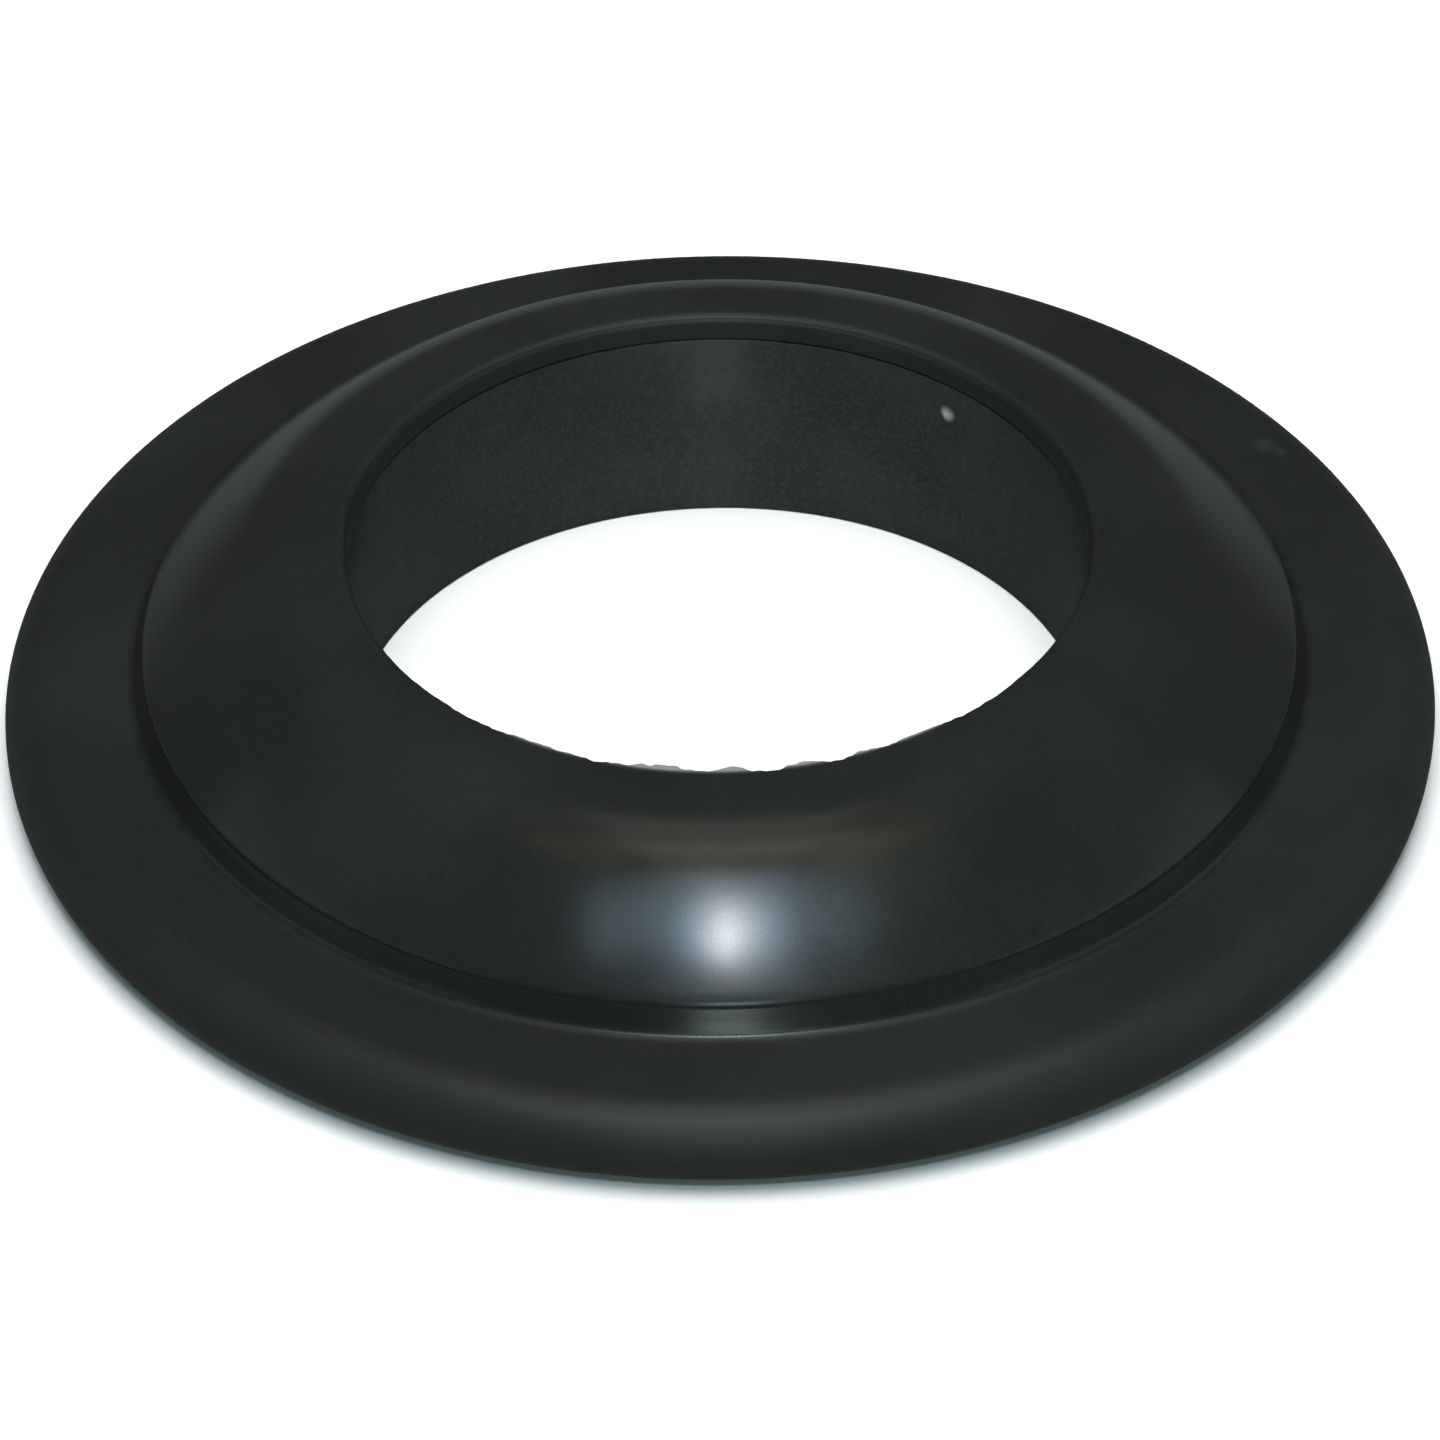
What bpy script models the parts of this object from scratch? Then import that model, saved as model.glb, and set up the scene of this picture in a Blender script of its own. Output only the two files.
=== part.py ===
"""Toilet flange seal ring: a moulded rubber cover over a sponge core, lined with a bore
sleeve, stiffened by a flat steel ring and closed underneath by a skin with two floor seals.

Metres, +Z up. The origin is on the ring's axis, in the plane that it rests on.
"""

import math

import bmesh
import bpy
from mathutils import Matrix, Vector

# Driving dimensions: the outside of the cover. Angles are of the surface's normal above level.
OUTER_RADIUS = 0.0700
FLANGE_TOP = 0.0090
FOOT_OUTER_END = 0.0575
FOOT_TOP = Vector((0.0565, 0.0116))
SHOULDER_RADIUS = 0.0008
SHOULDER_ANGLE = math.radians(44)
FLANK_RADIUS = 0.0870
FLANK_ANGLE = math.radians(52)
DOME_RADIUS = 0.0165
BORE_RADIUS = 0.0360
MOUTH_ROUND = 0.0010
TOTAL_HEIGHT = 0.0240
COVER_WALL = 0.0026
RIM_WALL = 0.0065
FOOT_INSIDE = 0.0550

# Driving dimensions: the pieces inside and underneath.
GAP = 0.0003
SLEEVE_WALL = 0.0022
SLEEVE_FOOT_WIDTH = 0.0026
SLEEVE_TOP = 0.0210
BASE_RECESS = 0.0006
BASE_THICKNESS = 0.0025
STIFFENER_WIDTH = 0.0075
FLOOR_SEAL_AT = {"inner_floor_seal": 0.0462, "outer_floor_seal": 0.0600}
FLOOR_SEAL_HALF_WIDTH = 0.0016
GROOVE_DEPTH = 0.0017
POST_CIRCLE = 0.0600
POST_RADIUS = 0.0015
POST_COUNT = 12

# Colours, in linear RGB.
COVER_COLOUR = (0.011, 0.013, 0.012)
SLEEVE_COLOUR = (0.018, 0.022, 0.024)
SPONGE_COLOUR = (0.050, 0.050, 0.055)
BASE_COLOUR = (0.020, 0.022, 0.022)
FLOOR_SEAL_COLOUR = (0.030, 0.030, 0.032)
STEEL_COLOUR = (0.55, 0.57, 0.58)

# Facets.
SEGMENTS = 60
ARC_STEP = math.radians(22.5)
POST_SIDES = 12

# Levels and radii that follow from them.
RIM_RADIUS = FLANGE_TOP / 2
RIM_CENTRE = (OUTER_RADIUS - RIM_RADIUS, RIM_RADIUS)
DOME_CENTRE = Vector((BORE_RADIUS + MOUTH_ROUND, TOTAL_HEIGHT - DOME_RADIUS))
FLANK_DIRECTION = Vector((math.cos(FLANK_ANGLE), math.sin(FLANK_ANGLE)))
FLANK_CENTRE = DOME_CENTRE - FLANK_DIRECTION * (FLANK_RADIUS - DOME_RADIUS)
SHOULDER_DIRECTION = Vector((math.cos(SHOULDER_ANGLE), math.sin(SHOULDER_ANGLE)))
SHOULDER_CENTRE = FLANK_CENTRE + SHOULDER_DIRECTION * (FLANK_RADIUS - SHOULDER_RADIUS)
MOUTH_CENTRE = (DOME_CENTRE.x, TOTAL_HEIGHT - MOUTH_ROUND)
LIP_UNDERSIDE = SLEEVE_TOP + GAP
FLANGE_UNDERSIDE = FLANGE_TOP - COVER_WALL
RIM_INSIDE = OUTER_RADIUS - RIM_WALL
SLEEVE_OUTSIDE = BORE_RADIUS + SLEEVE_WALL
SLEEVE_FOOT_END = SLEEVE_OUTSIDE + SLEEVE_FOOT_WIDTH
BASE_TOP = BASE_RECESS + BASE_THICKNESS
STIFFENER_BOTTOM = BASE_TOP + GAP
STIFFENER_TOP = FLANGE_UNDERSIDE - GAP
STIFFENER_OUTSIDE = RIM_INSIDE - 2 * GAP
STIFFENER_INSIDE = STIFFENER_OUTSIDE - STIFFENER_WIDTH


def arc(centre, radius_r, radius_z, start, end):
    """Points of an arc in the (r, z) half plane, at most ARC_STEP apart, both ends included."""
    steps = max(1, math.ceil(abs(end - start) / ARC_STEP - 1e-6))
    angles = (start + (end - start) * i / steps for i in range(steps + 1))
    return [(centre[0] + radius_r * math.cos(a), centre[1] + radius_z * math.sin(a)) for a in angles]


def without_repeats(outline):
    """Drops each point that lies on the one before it."""
    kept = []
    for point in outline:
        if not kept or (Vector(point) - Vector(kept[-1])).length > 1e-6:
            kept.append(point)
    return kept


def solid_colour(name, colour, roughness, metallic=0):
    material = bpy.data.materials.new(name)
    material.use_nodes = True
    shader = material.node_tree.nodes["Principled BSDF"]
    shader.inputs["Base Color"].default_value = (*colour, 1)
    shader.inputs["Roughness"].default_value = roughness
    shader.inputs["Metallic"].default_value = metallic
    return material


def mesh_object(name, bm, material=None):
    """Makes a smooth-shaded object of a bmesh, with its faces pointing out."""
    bmesh.ops.recalc_face_normals(bm, faces=bm.faces)
    mesh = bpy.data.meshes.new(name)
    bm.to_mesh(mesh)
    bm.free()
    mesh.shade_smooth()
    mesh.set_sharp_from_angle(angle=math.radians(40))
    piece = bpy.data.objects.new(name, mesh)
    if material:
        mesh.materials.append(material)
    bpy.context.scene.collection.objects.link(piece)
    return piece


def turned(name, outline, material):
    """A solid of revolution about +Z from a closed (r, z) outline."""
    bm = bmesh.new()
    points = [bm.verts.new((r, 0, z)) for r, z in without_repeats(outline)]
    edges = [bm.edges.new((a, b)) for a, b in zip(points, points[1:] + points[:1])]
    bmesh.ops.spin(
        bm, geom=points + edges, cent=(0, 0, 0), axis=(0, 0, 1), angle=2 * math.pi,
        steps=SEGMENTS, use_merge=True,
    )
    return mesh_object(name, bm, material)


def round_bars(name, radius, bottom, top):
    """Upright bars on the post circle, as one cutting or joining shape."""
    bm = bmesh.new()
    for i in range(POST_COUNT):
        turn = Matrix.Rotation(2 * math.pi * (i + 0.5) / POST_COUNT, 4, "Z")
        middle = Matrix.Translation((POST_CIRCLE, 0, (bottom + top) / 2))
        bmesh.ops.create_cone(
            bm, cap_ends=True, segments=POST_SIDES, radius1=radius, radius2=radius,
            depth=top - bottom, matrix=turn @ middle,
        )
    bars = mesh_object(name, bm)
    bars.hide_render = True
    bars.display_type = "WIRE"
    return bars


def add_boolean(piece, operation, other):
    modifier = piece.modifiers.new(other.name, "BOOLEAN")
    modifier.operation = operation
    modifier.solver = "EXACT"
    modifier.object = other


def flank_and_dome(depth, highest):
    """The flank and the dome at a depth below their outside, from the shoulder up to a height."""
    flank = FLANK_RADIUS - depth
    dome = DOME_RADIUS - depth
    end = math.asin(min(1, (highest - DOME_CENTRE.y) / dome))
    return (
        arc(FLANK_CENTRE, flank, flank, SHOULDER_ANGLE, FLANK_ANGLE)
        + arc(DOME_CENTRE, dome, dome, FLANK_ANGLE, end)
    )


def cover_outside():
    """The cover's outer skin, from the rim's bottom edge up over the dome and into the mouth."""
    right, up = 0, math.pi / 2
    return (
        arc(RIM_CENTRE, RIM_RADIUS, RIM_RADIUS, -up, up)
        + [(FOOT_OUTER_END, FLANGE_TOP), FOOT_TOP]
        + arc(SHOULDER_CENTRE, SHOULDER_RADIUS, SHOULDER_RADIUS, right, SHOULDER_ANGLE)
        + flank_and_dome(0, TOTAL_HEIGHT)
        + arc(MOUTH_CENTRE, MOUTH_ROUND, MOUTH_ROUND, up, math.pi)
    )


def make_rubber_cover():
    """The outer skin, hollow underneath, with posts that key through the stiffener."""
    inside = (
        [(BORE_RADIUS, LIP_UNDERSIDE)]
        + flank_and_dome(COVER_WALL, LIP_UNDERSIDE)[::-1]
        + [(FOOT_INSIDE, FLANGE_UNDERSIDE), (RIM_INSIDE, FLANGE_UNDERSIDE), (RIM_INSIDE, 0)]
    )
    cover = turned("rubber_cover", cover_outside() + inside, solid_colour("cover", COVER_COLOUR, 0.25))
    posts = round_bars("keying_posts", POST_RADIUS, STIFFENER_BOTTOM, FLANGE_UNDERSIDE + COVER_WALL / 2)
    add_boolean(cover, "UNION", posts)


def make_bore_sleeve():
    """The tube that lines the bore, with a foot that turns out under the dome."""
    outline = [
        (BORE_RADIUS, 0),
        (SLEEVE_FOOT_END, 0),
        (SLEEVE_FOOT_END, BASE_TOP),
        (SLEEVE_OUTSIDE, BASE_TOP),
        (SLEEVE_OUTSIDE, SLEEVE_TOP),
        (BORE_RADIUS, SLEEVE_TOP),
    ]
    turned("bore_sleeve", outline, solid_colour("sleeve", SLEEVE_COLOUR, 0.6))


def make_foam_core():
    """The sponge ring that fills the dome above the base skin."""
    inside = SLEEVE_OUTSIDE + GAP
    bottom = BASE_TOP + GAP
    outside = [p for p in flank_and_dome(COVER_WALL + GAP, SLEEVE_TOP) if p[0] > inside]
    outline = [(inside, bottom), (outside[0][0], bottom)] + outside + [(inside, SLEEVE_TOP)]
    turned("foam_core", outline, solid_colour("sponge", SPONGE_COLOUR, 0.95))


def make_stiffener_ring():
    """The flat ring inside the flange, with a hole for each keying post."""
    outline = [
        (STIFFENER_INSIDE, STIFFENER_BOTTOM),
        (STIFFENER_OUTSIDE, STIFFENER_BOTTOM),
        (STIFFENER_OUTSIDE, STIFFENER_TOP),
        (STIFFENER_INSIDE, STIFFENER_TOP),
    ]
    ring = turned("stiffener_ring", outline, solid_colour("galvanised_steel", STEEL_COLOUR, 0.4, 1))
    drills = round_bars("post_holes", POST_RADIUS + GAP, STIFFENER_BOTTOM - GAP, STIFFENER_TOP + GAP)
    add_boolean(ring, "DIFFERENCE", drills)


def groove(middle):
    """A square groove in the base skin's underside, from its inner to its outer lip."""
    half = FLOOR_SEAL_HALF_WIDTH + GAP
    top = BASE_RECESS + GROOVE_DEPTH
    return [
        (middle - half, BASE_RECESS),
        (middle - half, top),
        (middle + half, top),
        (middle + half, BASE_RECESS),
    ]


def make_base_skin():
    """The disc that closes the underside, with a groove for each floor seal."""
    inside = SLEEVE_FOOT_END + GAP
    outside = RIM_INSIDE - GAP
    outline = [(inside, BASE_TOP), (inside, BASE_RECESS)]
    for middle in sorted(FLOOR_SEAL_AT.values()):
        outline += groove(middle)
    outline += [(outside, BASE_RECESS), (outside, BASE_TOP)]
    turned("base_skin", outline, solid_colour("base", BASE_COLOUR, 0.55))


def make_floor_seal(name, middle, material):
    """A soft bead, flat where it sits in its groove and round where it meets the floor."""
    half = FLOOR_SEAL_HALF_WIDTH
    top = BASE_RECESS + GROOVE_DEPTH - GAP
    outline = [(middle + half, top), (middle - half, top)]
    outline += arc((middle, half), half, half, math.pi, 2 * math.pi)
    turned(name, outline, material)


def main():
    for old in list(bpy.data.objects):
        bpy.data.objects.remove(old)
    make_rubber_cover()
    make_bore_sleeve()
    make_foam_core()
    make_stiffener_ring()
    make_base_skin()
    soft_rubber = solid_colour("floor_seal", FLOOR_SEAL_COLOUR, 0.45)
    for name, middle in FLOOR_SEAL_AT.items():
        make_floor_seal(name, middle, soft_rubber)


main()
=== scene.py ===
"""Toilet flange seal ring: the looks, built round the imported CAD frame."""

import math

import bmesh
import bpy
from mathutils import Matrix, Vector, noise


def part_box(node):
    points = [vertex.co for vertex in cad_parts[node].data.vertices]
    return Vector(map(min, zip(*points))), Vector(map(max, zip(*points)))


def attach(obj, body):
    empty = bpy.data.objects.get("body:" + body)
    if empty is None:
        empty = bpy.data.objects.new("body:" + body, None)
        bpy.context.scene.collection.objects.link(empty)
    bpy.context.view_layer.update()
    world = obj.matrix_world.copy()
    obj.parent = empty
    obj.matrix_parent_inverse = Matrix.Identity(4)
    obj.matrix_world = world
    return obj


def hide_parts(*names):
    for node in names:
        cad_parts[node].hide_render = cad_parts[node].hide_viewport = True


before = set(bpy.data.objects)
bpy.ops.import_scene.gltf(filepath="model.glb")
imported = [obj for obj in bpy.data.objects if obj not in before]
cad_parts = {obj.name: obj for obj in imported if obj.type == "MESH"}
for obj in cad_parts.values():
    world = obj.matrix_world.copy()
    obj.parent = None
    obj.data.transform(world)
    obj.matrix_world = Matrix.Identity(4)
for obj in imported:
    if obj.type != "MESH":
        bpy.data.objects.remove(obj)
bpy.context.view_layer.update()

MM = 0.001
UP = math.pi / 2

# Sizes from the frame, in metres.
OUTER_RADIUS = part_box("rubber_cover")[1][0]
TOTAL_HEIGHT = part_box("rubber_cover")[1][2]
BASE_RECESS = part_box("base_skin")[0][2]
BASE_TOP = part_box("base_skin")[1][2]
BASE_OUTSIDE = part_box("base_skin")[1][0]
SLEEVE_FOOT_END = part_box("bore_sleeve")[1][0]
SLEEVE_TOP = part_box("bore_sleeve")[1][2]
STIFFENER_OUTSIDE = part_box("stiffener_ring")[1][0]
STIFFENER_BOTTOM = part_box("stiffener_ring")[0][2]
STIFFENER_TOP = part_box("stiffener_ring")[1][2]
FOAM_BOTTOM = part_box("foam_core")[0][2]
FOAM_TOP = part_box("foam_core")[1][2]

# Sizes that no box gives, as in the CAD model. Angles are of the surface's normal above level.
FLANGE_TOP = 9.0 * MM
FOOT_OUTER_END = Vector((57.5, 9.0)) * MM
FOOT_TOP = Vector((56.5, 11.6)) * MM
SHOULDER_RADIUS = 0.8 * MM
SHOULDER_ANGLE = math.radians(44)
FLANK_RADIUS = 87.0 * MM
FLANK_ANGLE = math.radians(52)
DOME_RADIUS = 16.5 * MM
BORE_RADIUS = 36.0 * MM
MOUTH_ROUND = 1.0 * MM
COVER_WALL = 2.6 * MM
FOOT_INSIDE = 55.0 * MM
SLEEVE_OUTSIDE = BORE_RADIUS + 2.2 * MM
STIFFENER_WIDTH = 7.5 * MM
POST_CIRCLE = 60.0 * MM
POST_RADIUS = 1.5 * MM
POST_COUNT = 12
GROOVE_DEPTH = 1.7 * MM
SEAL_HALF_WIDTH = 1.6 * MM
SMALL_ROUND = 0.25 * MM

GAP = FOAM_BOTTOM - BASE_TOP
RIM_INSIDE = BASE_OUTSIDE + GAP
RIM_RADIUS = FLANGE_TOP / 2
RIM_CENTRE = Vector((OUTER_RADIUS - RIM_RADIUS, RIM_RADIUS))
DOME_CENTRE = Vector((BORE_RADIUS + MOUTH_ROUND, TOTAL_HEIGHT - DOME_RADIUS))
FLANK_DIRECTION = Vector((math.cos(FLANK_ANGLE), math.sin(FLANK_ANGLE)))
FLANK_CENTRE = DOME_CENTRE - FLANK_DIRECTION * (FLANK_RADIUS - DOME_RADIUS)
SHOULDER_DIRECTION = Vector((math.cos(SHOULDER_ANGLE), math.sin(SHOULDER_ANGLE)))
SHOULDER_CENTRE = FLANK_CENTRE + SHOULDER_DIRECTION * (FLANK_RADIUS - SHOULDER_RADIUS)
MOUTH_CENTRE = Vector((DOME_CENTRE.x, TOTAL_HEIGHT - MOUTH_ROUND))
LIP_UNDERSIDE = SLEEVE_TOP + GAP
FLANGE_UNDERSIDE = FLANGE_TOP - COVER_WALL

# Fineness of the meshes.
SEGMENTS = 540
ARC_STEP = math.radians(5)
RUN_STEP = 1.0 * MM

# Small blends at the top and the end of the foot.
FOOT_BLEND = 1.2 * MM
FOOT_TOP_BLEND = 0.1 * MM

# The trimmed flash round the mouth: where it leaves the wall, and how far it stands at most.
FLASH_FROM = math.radians(138)
FLASH_TO = math.radians(152)
FLASH_REACH = 0.75 * MM
FLASH_RISE = math.radians(25)
FLASH_THICKNESS = 0.08 * MM
# Pale grey painted on the flash's trimmed edge: a painted highlight.
FLASH_EDGE_HIGHLIGHT_COLOUR = (0.15, 0.16, 0.15)

# The pale moulding pip on the bore wall.
PIP_ANGLE = math.radians(50.4)
PIP_HEIGHT = 17.7 * MM
PIP_SIZE = 1.1 * MM
PIP_STAND = 0.35 * MM

# Smudges and nicks on the cover: angle, radius, height, size and strength. At the two dome smudges the
# lighter colour is a painted reflection.
COVER_SMUDGES_SHEEN_AND_NICKS = (
    (math.radians(318), 50.2 * MM, 18.3 * MM, 11 * MM, 0.9),
    (math.radians(237), 50.4 * MM, 18.1 * MM, 8 * MM, 0.8),
    (math.radians(31.3), 64.3 * MM, 9.0 * MM, 1.6 * MM, 4.0),
    (math.radians(29.8), 65.0 * MM, 9.0 * MM, 1.1 * MM, 3.0),
)

# The camera, in front of the ring and above it.
CAMERA_ELEVATION = math.radians(38.575)
CAMERA_DISTANCE = 1.0
CAMERA_ROLL = math.radians(-0.755)
FOCAL_LENGTH = 254.4
SENSOR_WIDTH = 36
CAMERA_SHIFT = (-0.0003, 0.0070)

# The room's brightness above the horizon, and that of the ground below it.
ROOM_GLOW = 0.05
GROUND_GLOW = 0.17


# Outlines, as (r, z) points

def arc(centre, radius, start, end, step=ARC_STEP):
    steps = max(2, math.ceil(abs(end - start) / step))
    angles = (start + (end - start) * i / steps for i in range(steps + 1))
    return [Vector((centre[0] + radius * math.cos(a), centre[1] + radius * math.sin(a))) for a in angles]


def refined(outline, step=RUN_STEP):
    """The closed outline with its straight runs cut into steps, and no point twice."""
    points = []
    for a, b in zip(outline, outline[1:] + outline[:1]):
        run = (b - a).length
        if run < 1e-6:
            continue
        cuts = max(1, round(run / step))
        points += [a.lerp(b, i / cuts) for i in range(cuts)]
    return points


def refined_open(points, step=RUN_STEP):
    """An open run of points with its long stretches cut into steps, and no point twice."""
    kept = [points[0]]
    for point in points[1:]:
        run = (point - kept[-1]).length
        if run < 1e-6:
            continue
        cuts = max(1, round(run / step))
        start = kept[-1]
        kept += [start.lerp(point, i / cuts) for i in range(1, cuts + 1)]
    return kept


def corner_arc(before, corner, after, radius, steps=4):
    """The arc that rounds one corner of an outline."""
    a = (before - corner).normalized()
    b = (after - corner).normalized()
    half = a.angle(b) / 2
    middle = corner + (a + b).normalized() * (radius / math.sin(half))
    start = corner + a * (radius / math.tan(half)) - middle
    sweep = -math.copysign(math.pi - 2 * half, a.cross(b))
    return [middle + Matrix.Rotation(sweep * i / steps, 2) @ start for i in range(steps + 1)]


def rounded(corners, radius=SMALL_ROUND):
    """A closed outline whose corners are rounded to a small radius."""
    corners = [Vector(corner) for corner in corners]
    outline = []
    for before, corner, after in zip(corners[-1:] + corners[:-1], corners, corners[1:] + corners[:1]):
        outline += corner_arc(before, corner, after, radius)
    return outline


# Meshes

def smooth_object(name, bm, material):
    bmesh.ops.recalc_face_normals(bm, faces=bm.faces)
    mesh = bpy.data.meshes.new(name)
    bm.to_mesh(mesh)
    bm.free()
    mesh.shade_smooth()
    mesh.set_sharp_from_angle(angle=math.radians(50))
    mesh.materials.append(material)
    piece = bpy.data.objects.new(name, mesh)
    bpy.context.scene.collection.objects.link(piece)
    return piece


def turned(name, outline, material, shape=None, segments=SEGMENTS):
    """A closed ring from an (r, z) outline. shape(point index, angle, point) may move each point."""
    bm = bmesh.new()
    rings = []
    for s in range(segments):
        angle = 2 * math.pi * s / segments
        turn = (math.cos(angle), math.sin(angle))
        ring = []
        for i, point in enumerate(outline):
            r, z = shape(i, angle, point) if shape else point
            ring.append(bm.verts.new((r * turn[0], r * turn[1], z)))
        rings.append(ring)
    count = len(outline)
    for s in range(segments):
        here, there = rings[s], rings[(s + 1) % segments]
        for i in range(count):
            j = (i + 1) % count
            bm.faces.new((here[i], there[i], there[j], here[j]))
    return smooth_object(name, bm, material)


def apply_boolean(piece, operation, radius, bottom, top):
    """Joins or cuts the ring of upright round bars through the flange."""
    bm = bmesh.new()
    for i in range(POST_COUNT):
        turn = Matrix.Rotation(2 * math.pi * (i + 0.5) / POST_COUNT, 4, "Z")
        middle = Matrix.Translation((POST_CIRCLE, 0, (bottom + top) / 2))
        bmesh.ops.create_cone(
            bm, cap_ends=True, segments=32, radius1=radius, radius2=radius,
            depth=top - bottom, matrix=turn @ middle,
        )
    bars = smooth_object("bars", bm, piece.data.materials[0])
    modifier = piece.modifiers.new("bars", "BOOLEAN")
    modifier.operation = operation
    modifier.solver = "EXACT"
    modifier.object = bars
    graph = bpy.context.evaluated_depsgraph_get()
    mesh = bpy.data.meshes.new_from_object(piece.evaluated_get(graph), depsgraph=graph)
    piece.modifiers.clear()
    piece.data = mesh
    bpy.data.objects.remove(bars)


def wave(angle, around, seed):
    """Smooth noise round the ring, from about -1 to 1, with that many waves per radian."""
    return noise.noise(Vector((around * math.cos(angle), around * math.sin(angle), seed)))


# Materials

def new_material(name):
    material = bpy.data.materials.new(name)
    material.use_nodes = True
    return material, material.node_tree, material.node_tree.nodes["Principled BSDF"]


def add_node(tree, kind, links=None, **settings):
    """A node with its properties and input values set, and its inputs linked."""
    node = tree.nodes.new(kind)
    for key, value in settings.items():
        setattr(node, key, value)
    for key, value in (links or {}).items():
        if isinstance(value, bpy.types.NodeSocket):
            tree.links.new(value, node.inputs[key])
        else:
            node.inputs[key].default_value = value
    return node


def position(tree):
    return tree.nodes.new("ShaderNodeTexCoord").outputs["Object"]


def cloud(tree, place, scale, detail=3, rough=0.5, seed=0.0):
    """3-D noise around 0.5, of that many features per metre."""
    shift = (seed, seed * 0.7, -seed)
    moved = add_node(tree, "ShaderNodeVectorMath", {0: place, 1: shift}, operation="ADD")
    links = {"Vector": moved.outputs[0], "Scale": scale, "Detail": detail, "Roughness": rough}
    return add_node(tree, "ShaderNodeTexNoise", links).outputs["Fac"]


def remap(tree, value, low, high, to_low=0.0, to_high=1.0):
    links = {"Value": value, "From Min": low, "From Max": high, "To Min": to_low, "To Max": to_high}
    return add_node(tree, "ShaderNodeMapRange", links, interpolation_type="SMOOTHSTEP").outputs["Result"]


def maths(tree, operation, a, b):
    return add_node(tree, "ShaderNodeMath", {0: a, 1: b}, operation=operation).outputs[0]


def mixed(tree, amount, a, b):
    node = add_node(tree, "ShaderNodeMix", {0: amount}, data_type="RGBA")
    for socket, value in ((node.inputs[6], a), (node.inputs[7], b)):
        if isinstance(value, bpy.types.NodeSocket):
            tree.links.new(value, socket)
        else:
            socket.default_value = (*value, 1)
    return node.outputs[2]


def bumped(tree, shader, layers):
    """Chains bumps, each (height, depth in metres)."""
    normal = None
    for height, depth in layers:
        links = {"Height": height, "Distance": depth, "Strength": 1.0}
        if normal is not None:
            links["Normal"] = normal
        normal = add_node(tree, "ShaderNodeBump", links).outputs["Normal"]
    tree.links.new(normal, shader.inputs["Normal"])


def spot(tree, place, angle, r, z, size):
    """1 at a place on the ring given by its angle, radius and height, fading to 0 at size."""
    middle = (r * math.cos(angle), r * math.sin(angle), z)
    away = add_node(tree, "ShaderNodeVectorMath", {0: place, 1: middle}, operation="DISTANCE")
    return remap(tree, away.outputs["Value"], size, 0.0)


def rubber(name, colour, dust, dust_amount, roughness, specular, grain,
           sheen_and_nick_spots=(), dulling=None, edge_highlight=None):
    """Black rubber with a thin uneven dust film, handling smudges and a fine moulded grain. Where spots
    lighten the cover's dome smudges, the lighter colour is a painted reflection.

    dulling(tree, place) may give an amount that is added to the roughness, and edge_highlight(tree, place)
    where a pale grey painted highlight goes on the colour.
    """
    material, tree, shader = new_material(name)
    place = position(tree)
    film = remap(tree, cloud(tree, place, 45, detail=3, rough=0.5), 0.42, 0.72)
    # Each spot lightens the colour and raises the roughness; on the dome smudges the lighter colour is a
    # painted reflection.
    for i, (angle, r, z, size, strength) in enumerate(sheen_and_nick_spots):
        sheen_and_nick_lift = maths(tree, "MULTIPLY", spot(tree, place, angle, r, z, size), strength)
        patchy = remap(tree, cloud(tree, place, 130, seed=3.1 + i), 0.3, 0.7, 0.5, 1)
        film = maths(tree, "MAXIMUM", film, maths(tree, "MULTIPLY", sheen_and_nick_lift, patchy))
    tint = mixed(tree, maths(tree, "MULTIPLY", film, dust_amount), colour, dust)
    fine = cloud(tree, place, 1900, detail=2, seed=1.0)
    mottled = mixed(tree, remap(tree, fine, 0.35, 0.7, 0, 0.1), tint, [c * 1.5 for c in dust])
    # Painted highlight: pale grey put on the colour along the trimmed flash edge.
    if edge_highlight:
        mottled = mixed(tree, edge_highlight(tree, place), mottled, FLASH_EDGE_HIGHLIGHT_COLOUR)
    tree.links.new(mottled, shader.inputs["Base Color"])
    low, high = roughness
    uneven = maths(tree, "ADD", film, cloud(tree, place, 120, seed=5.0))
    rough = remap(tree, uneven, 0.3, 1.4, low, high)
    if dulling:
        rough = maths(tree, "ADD", rough, dulling(tree, place))
    tree.links.new(rough, shader.inputs["Roughness"])
    shader.inputs["Specular IOR Level"].default_value = specular
    bumped(tree, shader, [(cloud(tree, place, 160, detail=2, seed=2.0), 2 * grain), (fine, grain)])
    return material


def axis_distance(tree, place):
    flat = add_node(tree, "ShaderNodeVectorMath", {0: place, 1: (1, 1, 0)}, operation="MULTIPLY").outputs[0]
    return add_node(tree, "ShaderNodeVectorMath", {0: flat}, operation="LENGTH").outputs["Value"]


def painted_flash_highlight(tree, place):
    """The flash's edge at the mouth is painted pale grey: a painted highlight along the trimmed edge."""
    radius = axis_distance(tree, place)
    height = add_node(tree, "ShaderNodeSeparateXYZ", {0: place}).outputs["Z"]
    inward = remap(tree, radius, 36.15 * MM, 35.9 * MM)
    return maths(tree, "MULTIPLY", inward, remap(tree, height, 23.45 * MM, 23.6 * MM))


def dull_flange(tree, place):
    """The flange is duller than the polished dome, and its rim and the dome's lip are matte."""
    radius = axis_distance(tree, place)
    flange = remap(tree, radius, 57.0 * MM, 58.2 * MM, 0, 0.22)
    rim = remap(tree, radius, 64.5 * MM, 69.5 * MM, 0, 0.10)
    lip = remap(tree, radius, 37.4 * MM, 36.5 * MM, 0, 0.30)
    return maths(tree, "ADD", maths(tree, "ADD", flange, rim), lip)


def cover_material():
    return rubber(
        "cover_rubber", (0.0095, 0.0108, 0.0100), (0.018, 0.020, 0.018), 0.4, (0.175, 0.215), 0.45,
        0.0004 * MM, COVER_SMUDGES_SHEEN_AND_NICKS, dull_flange, painted_flash_highlight,
    )


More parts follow.
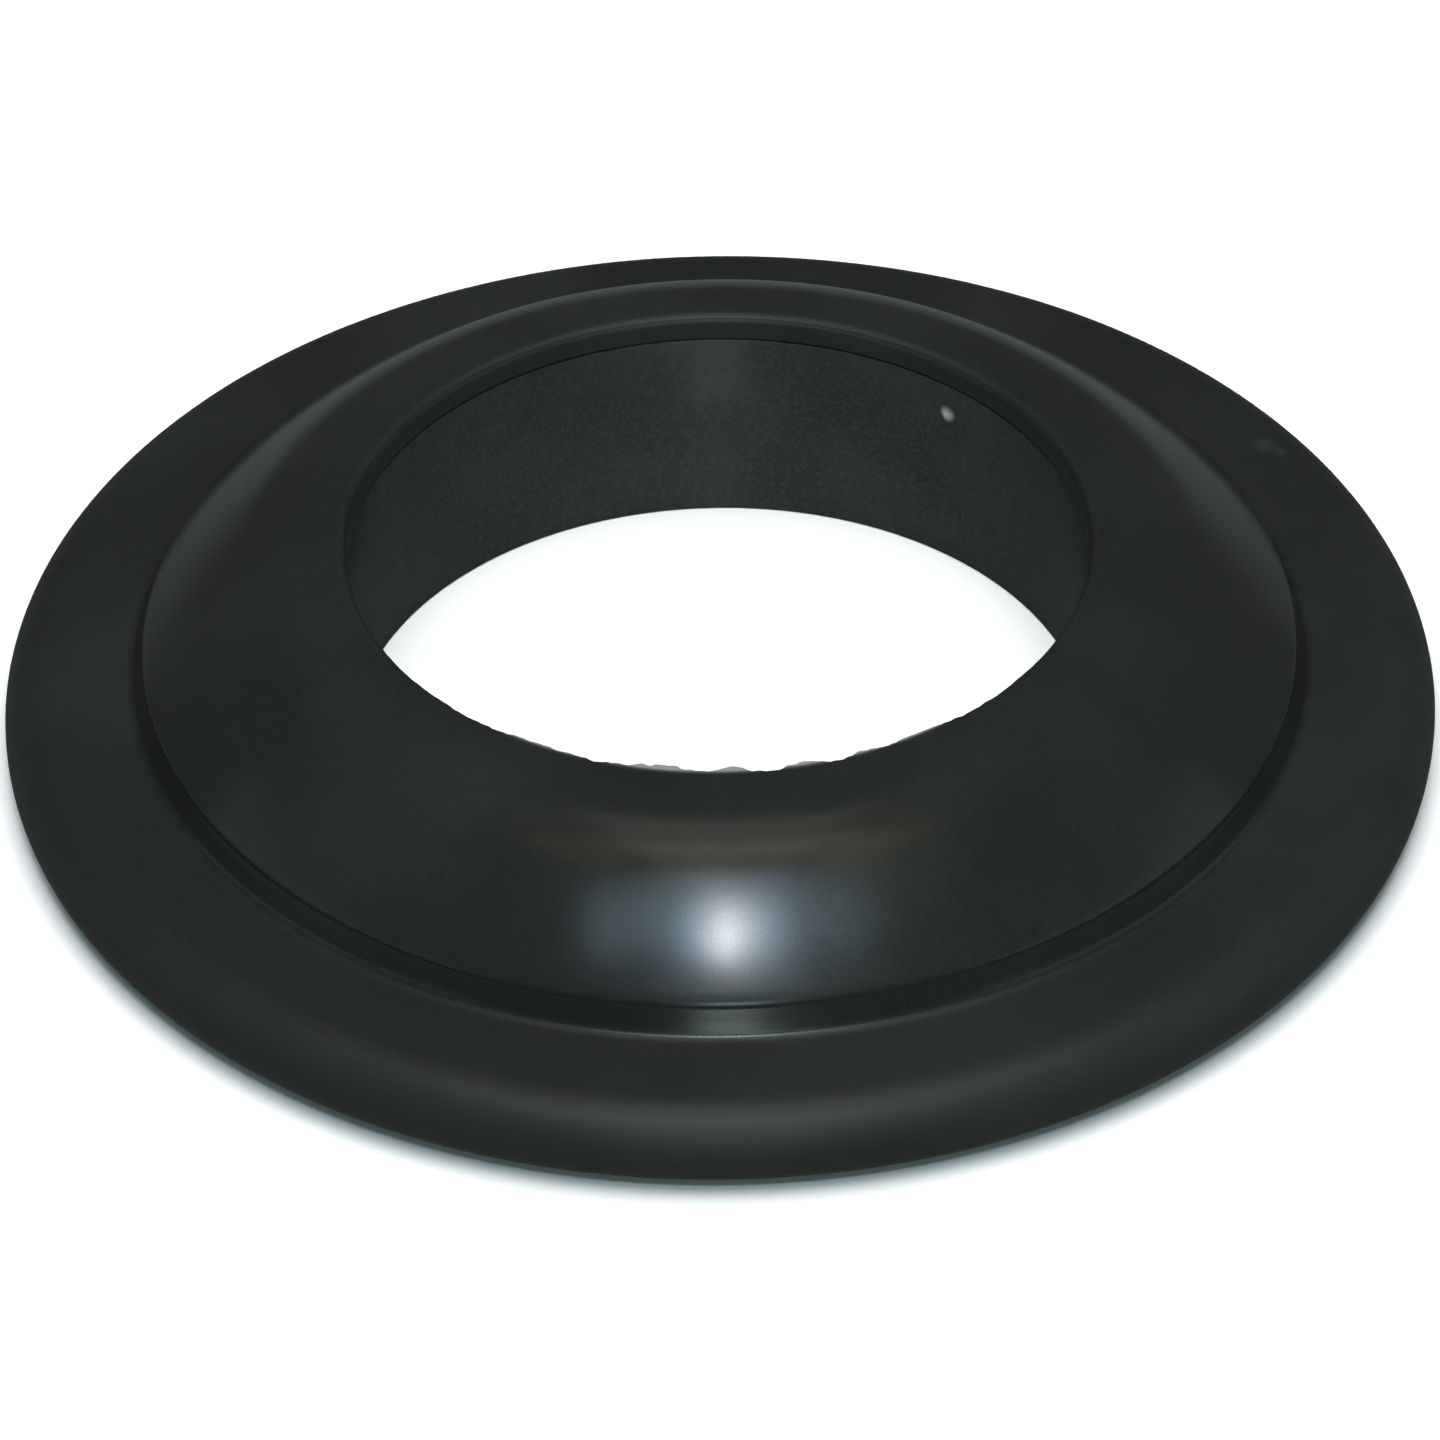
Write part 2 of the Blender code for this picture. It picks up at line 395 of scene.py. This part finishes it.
def sleeve_material():
    """Matte rubber whose fine turned grain draws reflections out up and down the wall."""
    material, tree, shader = new_material("sleeve_rubber")
    place = position(tree)
    film = remap(tree, cloud(tree, place, 90, detail=5, rough=0.6), 0.4, 0.75)
    tint = mixed(tree, film, (0.016, 0.020, 0.0185), (0.024, 0.029, 0.027))
    speckle = cloud(tree, place, 2300, detail=2, seed=4.0)
    grained = mixed(tree, remap(tree, speckle, 0.4, 0.75, 0, 0.5), tint, (0.036, 0.047, 0.042))
    pip = spot(tree, place, PIP_ANGLE, BORE_RADIUS, PIP_HEIGHT, PIP_SIZE)
    tree.links.new(mixed(tree, pip, grained, (0.42, 0.38, 0.30)), shader.inputs["Base Color"])
    tree.links.new(remap(tree, film, 0, 1, 0.46, 0.56), shader.inputs["Roughness"])
    shader.inputs["Specular IOR Level"].default_value = 0.35
    shader.inputs["Anisotropic"].default_value = 0.9
    shader.inputs["Anisotropic Rotation"].default_value = 0.25
    tangent = add_node(tree, "ShaderNodeTangent", direction_type="RADIAL", axis="Z")
    tree.links.new(tangent.outputs[0], shader.inputs["Tangent"])
    squeezed = add_node(tree, "ShaderNodeMapping", {"Vector": place, "Scale": (0.04, 0.04, 1)})
    rings = cloud(tree, squeezed.outputs[0], 5200, detail=2, seed=6.0)
    bumped(tree, shader, [(speckle, 0.006 * MM), (rings, 0.002 * MM)])
    return material


def sponge_material():
    material, tree, shader = new_material("sponge")
    place = position(tree)
    cells = add_node(tree, "ShaderNodeTexVoronoi", {"Vector": place, "Scale": 1400.0})
    # The colour is darker towards each cell's middle, where the bump sinks the pits: painted shade in the
    # pits.
    depth = remap(tree, cells.outputs["Distance"], 0.05, 0.6)
    tint = mixed(tree, depth, (0.012, 0.012, 0.014), (0.07, 0.07, 0.075))
    tree.links.new(tint, shader.inputs["Base Color"])
    tree.links.new(remap(tree, depth, 0, 1, 1.0, 0.85), shader.inputs["Roughness"])
    bumped(tree, shader, [(depth, 0.15 * MM)])
    return material


def galvanised_material():
    material, tree, shader = new_material("galvanised_steel")
    place = position(tree)
    spangle = add_node(tree, "ShaderNodeTexVoronoi", {"Vector": place, "Scale": 260.0}).outputs["Color"]
    shade = add_node(tree, "ShaderNodeSeparateColor", {"Color": spangle}).outputs["Red"]
    tree.links.new(mixed(tree, shade, (0.42, 0.44, 0.46), (0.62, 0.64, 0.65)), shader.inputs["Base Color"])
    tree.links.new(remap(tree, shade, 0, 1, 0.3, 0.5), shader.inputs["Roughness"])
    shader.inputs["Metallic"].default_value = 1
    bumped(tree, shader, [(cloud(tree, place, 900, detail=3), 0.01 * MM)])
    return material


def floor_material():
    material, tree, shader = new_material("floor")
    place = position(tree)
    shade = cloud(tree, place, 6, detail=2)
    tree.links.new(mixed(tree, shade, (0.84, 0.84, 0.84), (0.87, 0.87, 0.87)), shader.inputs["Base Color"])
    shader.inputs["Roughness"].default_value = 0.8
    shader.inputs["Specular IOR Level"].default_value = 0.2
    return material


# Pieces

def finish_piece(piece, node):
    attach(piece, "root")
    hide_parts(node)


def flank_and_dome(depth, highest, step=ARC_STEP):
    """The flank and the dome at a depth below their outside, from the shoulder up to a height."""
    flank = FLANK_RADIUS - depth
    dome = DOME_RADIUS - depth
    end = math.asin(min(1, (highest - DOME_CENTRE.y) / dome))
    return (
        arc(FLANK_CENTRE, flank, SHOULDER_ANGLE, FLANK_ANGLE, step / 4)
        + arc(DOME_CENTRE, dome, FLANK_ANGLE, end, step)
    )


def foot():
    """From the flange up the steep foot to just under the shoulder, both corners blended."""
    flange_side = FOOT_OUTER_END + Vector((MM, 0))
    under_shoulder = SHOULDER_CENTRE + Vector((SHOULDER_RADIUS, 0))
    return (
        corner_arc(flange_side, FOOT_OUTER_END, FOOT_TOP, FOOT_BLEND)
        + corner_arc(FOOT_OUTER_END, FOOT_TOP, under_shoulder, FOOT_TOP_BLEND)
    )


def cover_skin():
    """The cover's outer skin, from the rim's bottom edge over the dome to where the flash starts."""
    return refined_open(
        arc(RIM_CENTRE, RIM_RADIUS, -UP, UP)
        + foot()
        + arc(SHOULDER_CENTRE, SHOULDER_RADIUS, 0, SHOULDER_ANGLE, math.radians(8))
        + flank_and_dome(0, TOTAL_HEIGHT, math.radians(2.5))
        + arc(MOUTH_CENTRE, MOUTH_ROUND, UP, FLASH_FROM, math.radians(8))
    )


def make_cover():
    """The moulded skin with its trimmed flash, hollow underneath, and the keying posts."""
    skin = cover_skin()
    lip = arc(MOUTH_CENTRE, MOUTH_ROUND, FLASH_TO, math.pi, math.radians(8))
    inside = [Vector((BORE_RADIUS, LIP_UNDERSIDE))]
    inside += flank_and_dome(COVER_WALL, LIP_UNDERSIDE, math.radians(11))[::-1]
    inside += [Vector((FOOT_INSIDE, FLANGE_UNDERSIDE)), Vector((RIM_INSIDE, FLANGE_UNDERSIDE))]
    inside += [Vector((RIM_INSIDE, 0))]
    flash = (len(skin), len(skin) + 1)
    skin_end = len(skin) + 2 + len(lip)
    outline = skin + [skin[-1].copy(), skin[-1].copy()] + lip + inside
    reach = Vector((-math.cos(FLASH_RISE), math.sin(FLASH_RISE)))

    def shape(i, angle, point):
        if i in flash:
            long_tears = wave(angle, 8, 1.7)
            short_nicks = wave(angle, 45, 4.2)
            stand = min(1.0, max(0.06, 0.42 + 1.1 * long_tears + 0.5 * short_nicks))
            stand *= max(0.1, -math.sin(angle)) ** 4
            return point + reach * (FLASH_REACH * stand) + Vector((0, -FLASH_THICKNESS * flash.index(i)))
        if 0 < i < skin_end:
            soft = wave(angle, 2.2, point.x * 60) + 0.5 * wave(angle, 7, point.x * 90 + 5)
            inward = 0.03 * MM * (soft - 1.5)
            return Vector((point.x + inward, point.y + (inward if point.y > FLANGE_TOP else 0)))
        return point

    cover = turned("moulded_cover", outline, cover_material(), shape)
    apply_boolean(cover, "UNION", POST_RADIUS, STIFFENER_BOTTOM, FLANGE_UNDERSIDE + COVER_WALL / 2)
    finish_piece(cover, "rubber_cover")


def make_sleeve():
    """The matte bore lining, with rounded ends, a turned-out foot and a moulding pip."""
    outline = refined(rounded([
        (BORE_RADIUS, 0),
        (SLEEVE_FOOT_END, 0),
        (SLEEVE_FOOT_END, BASE_TOP),
        (SLEEVE_OUTSIDE, BASE_TOP),
        (SLEEVE_OUTSIDE, SLEEVE_TOP),
        (BORE_RADIUS, SLEEVE_TOP),
    ], 0.12 * MM), 0.5 * MM)

    def shape(i, angle, point):
        on_bore = point.x < BORE_RADIUS + 0.01 * MM
        if not on_bore:
            return point
        around = BORE_RADIUS * (angle - PIP_ANGLE)
        away = math.hypot(around / 0.6, (point.y - PIP_HEIGHT)) / PIP_SIZE
        pip = PIP_STAND * max(0.0, 1 - away * away)
        ripple = 0.05 * MM * (wave(angle, 3, point.y * 40) - 1) * 0.5
        return Vector((point.x - pip - ripple, point.y))

    sleeve = turned("bore_lining", outline, sleeve_material(), shape)
    finish_piece(sleeve, "bore_sleeve")


def make_base_skin():
    corners = [(SLEEVE_FOOT_END + GAP, BASE_TOP), (SLEEVE_FOOT_END + GAP, BASE_RECESS)]
    for seal in ("inner_floor_seal", "outer_floor_seal"):
        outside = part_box(seal)[1][0] + GAP
        inside = outside - 2 * (SEAL_HALF_WIDTH + GAP)
        top = BASE_RECESS + GROOVE_DEPTH
        corners += [(inside, BASE_RECESS), (inside, top), (outside, top), (outside, BASE_RECESS)]
    corners += [(BASE_OUTSIDE, BASE_RECESS), (BASE_OUTSIDE, BASE_TOP)]
    material = rubber(
        "base_rubber", (0.014, 0.016, 0.016), (0.040, 0.040, 0.036), 0.7, (0.45, 0.65), 0.35, 0.012 * MM,
    )
    skin = turned("underside_skin", refined(rounded(corners), 2 * MM), material, segments=360)
    finish_piece(skin, "base_skin")


def make_floor_seals():
    material = rubber(
        "seal_rubber", (0.020, 0.020, 0.021), (0.040, 0.040, 0.038), 0.5, (0.35, 0.5), 0.4, 0.008 * MM,
    )
    for node, name in (("inner_floor_seal", "inner_seal_bead"), ("outer_floor_seal", "outer_seal_bead")):
        half = SEAL_HALF_WIDTH
        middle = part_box(node)[1][0] - half
        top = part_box(node)[1][2]
        outline = [Vector((middle + half, top)), Vector((middle - half, top))]
        outline += arc((middle, half), half, math.pi, 2 * math.pi, math.radians(10))
        bead = turned(name, refined(outline), material, segments=360)
        finish_piece(bead, node)


def make_sponge():
    """The sponge ring, with the soft, slightly sunken skin of cut closed-cell foam."""
    inside = SLEEVE_OUTSIDE + GAP
    skin = [p for p in flank_and_dome(COVER_WALL + GAP, FOAM_TOP) if p.x > inside]
    outside = skin[0].x
    outline = [Vector((inside, FOAM_BOTTOM)), Vector((outside, FOAM_BOTTOM))]
    outline += skin + [Vector((inside, FOAM_TOP))]
    middle = Vector(((inside + outside) / 2, (FOAM_BOTTOM + FOAM_TOP) / 2))

    def shape(i, angle, point):
        height = 900 * (point.x + point.y)
        dent = 0.5 + 0.5 * wave(angle, 40, height)
        return point.lerp(middle, 0.02 * dent)

    sponge = turned("sponge_ring", refined(outline), sponge_material(), shape)
    finish_piece(sponge, "foam_core")


def make_stiffener():
    inside = STIFFENER_OUTSIDE - STIFFENER_WIDTH
    outline = rounded([
        (inside, STIFFENER_BOTTOM),
        (STIFFENER_OUTSIDE, STIFFENER_BOTTOM),
        (STIFFENER_OUTSIDE, STIFFENER_TOP),
        (inside, STIFFENER_TOP),
    ])
    ring = turned("steel_stiffener", outline, galvanised_material(), segments=360)
    apply_boolean(ring, "DIFFERENCE", POST_RADIUS + GAP, STIFFENER_BOTTOM - GAP, STIFFENER_TOP + GAP)
    finish_piece(ring, "stiffener_ring")


# Studio

def make_floor():
    """A plain pale floor that reflections don't see: the world's dim ground stands in for it."""
    bm = bmesh.new()
    bmesh.ops.create_grid(bm, x_segments=1, y_segments=1, size=4.0)
    floor = smooth_object("floor", bm, floor_material())
    floor.location.z = -0.1 * MM
    floor.visible_glossy = False


def softbox(name, azimuth, elevation, distance, width, height, radiance, colour):
    """A soft panel that faces the ring, with angles in degrees and sizes in metres.

    Azimuth 0 is in front, and grows to the right.
    """
    a, e = math.radians(azimuth), math.radians(elevation)
    place = distance * Vector((math.cos(e) * math.sin(a), -math.cos(e) * math.cos(a), math.sin(e)))
    lamp = bpy.data.lights.new(name, "AREA")
    lamp.shape = "RECTANGLE"
    lamp.size = width
    lamp.size_y = height
    lamp.color = colour
    lamp.energy = radiance * width * height * math.pi
    panel = bpy.data.objects.new(name, lamp)
    panel.matrix_world = Matrix.Translation(place) @ (-place).to_track_quat("-Z", "Y").to_matrix().to_4x4()
    bpy.context.scene.collection.objects.link(panel)
    return panel


def make_lights():
    """A bright window in front with its bluish surround, weak panels round it and a fill above.

    The fill is hidden from reflections.
    """
    softbox("window", 1.5, 55.3, 1.6, 0.12, 0.13, 66, (1.0, 0.98, 0.93))
    softbox("window_sky", 1.5, 55.3, 1.62, 0.38, 0.18, 10.5, (0.36, 0.68, 1.0))
    softbox("wings", 1, 58, 1.64, 1.20, 0.24, 2.6, (0.60, 0.88, 1.0))
    softbox("low_front", 2, 27, 1.6, 0.27, 0.70, 4.4, (0.60, 1.0, 0.96))
    softbox("floor_front", 1, 7, 1.6, 0.28, 0.38, 3.8, (0.80, 1.0, 0.92))
    softbox("upper", 1, 73, 1.4, 0.44, 0.50, 0.85, (1.0, 0.90, 0.74))
    softbox("shoulder_left", -50, 69, 1.4, 0.34, 0.44, 0.4, (1.0, 0.65, 0.30))
    softbox("shoulder_right", 50, 69, 1.4, 0.34, 0.44, 0.7, (1.0, 0.70, 0.30))
    softbox("ceiling", 0, 89, 1.4, 0.60, 0.60, 0.55, (1.0, 0.98, 0.80))
    softbox("side_left", -75, 17, 1.5, 1.70, 0.65, 0.25, (0.70, 1.0, 0.96))
    softbox("side_right", 75, 17, 1.5, 1.70, 0.65, 0.34, (0.80, 1.0, 0.92))
    fill = softbox("fill", 0, 85, 0.7, 0.6, 0.6, 6.2, (1.0, 1.0, 1.0))
    fill.visible_glossy = False
    make_world()


def make_world():
    """Dim room light, with a brighter ground below the horizon that the floor hides from view."""
    world = bpy.data.worlds.new("studio")
    world.use_nodes = True
    tree = world.node_tree
    direction = tree.nodes.new("ShaderNodeTexCoord").outputs["Generated"]
    height = add_node(tree, "ShaderNodeSeparateXYZ", {0: direction}).outputs["Z"]
    shade = tree.nodes["Background"]
    shade.inputs["Color"].default_value = (0.90, 1.0, 0.93, 1)
    tree.links.new(remap(tree, height, 0.02, -0.12, ROOM_GLOW, GROUND_GLOW), shade.inputs["Strength"])
    bpy.context.scene.world = world


def make_camera():
    """A long lens, a little rolled, aimed at the ring's centre on the floor."""
    lens = bpy.data.cameras.new("camera")
    lens.sensor_width = SENSOR_WIDTH
    lens.lens = FOCAL_LENGTH
    lens.shift_x, lens.shift_y = CAMERA_SHIFT
    lens.clip_start = 0.01
    place = CAMERA_DISTANCE * Vector((0, -math.cos(CAMERA_ELEVATION), math.sin(CAMERA_ELEVATION)))
    aim = (-place).to_track_quat("-Z", "Y").to_matrix().to_4x4()
    camera = bpy.data.objects.new("camera", lens)
    camera.matrix_world = Matrix.Translation(place) @ aim @ Matrix.Rotation(CAMERA_ROLL, 4, "Z")
    bpy.context.scene.collection.objects.link(camera)
    bpy.context.scene.camera = camera


make_camera()
make_lights()
make_floor()
make_cover()
make_sleeve()
make_base_skin()
make_floor_seals()
make_sponge()
make_stiffener()
bpy.context.scene.view_settings.view_transform = "Standard"
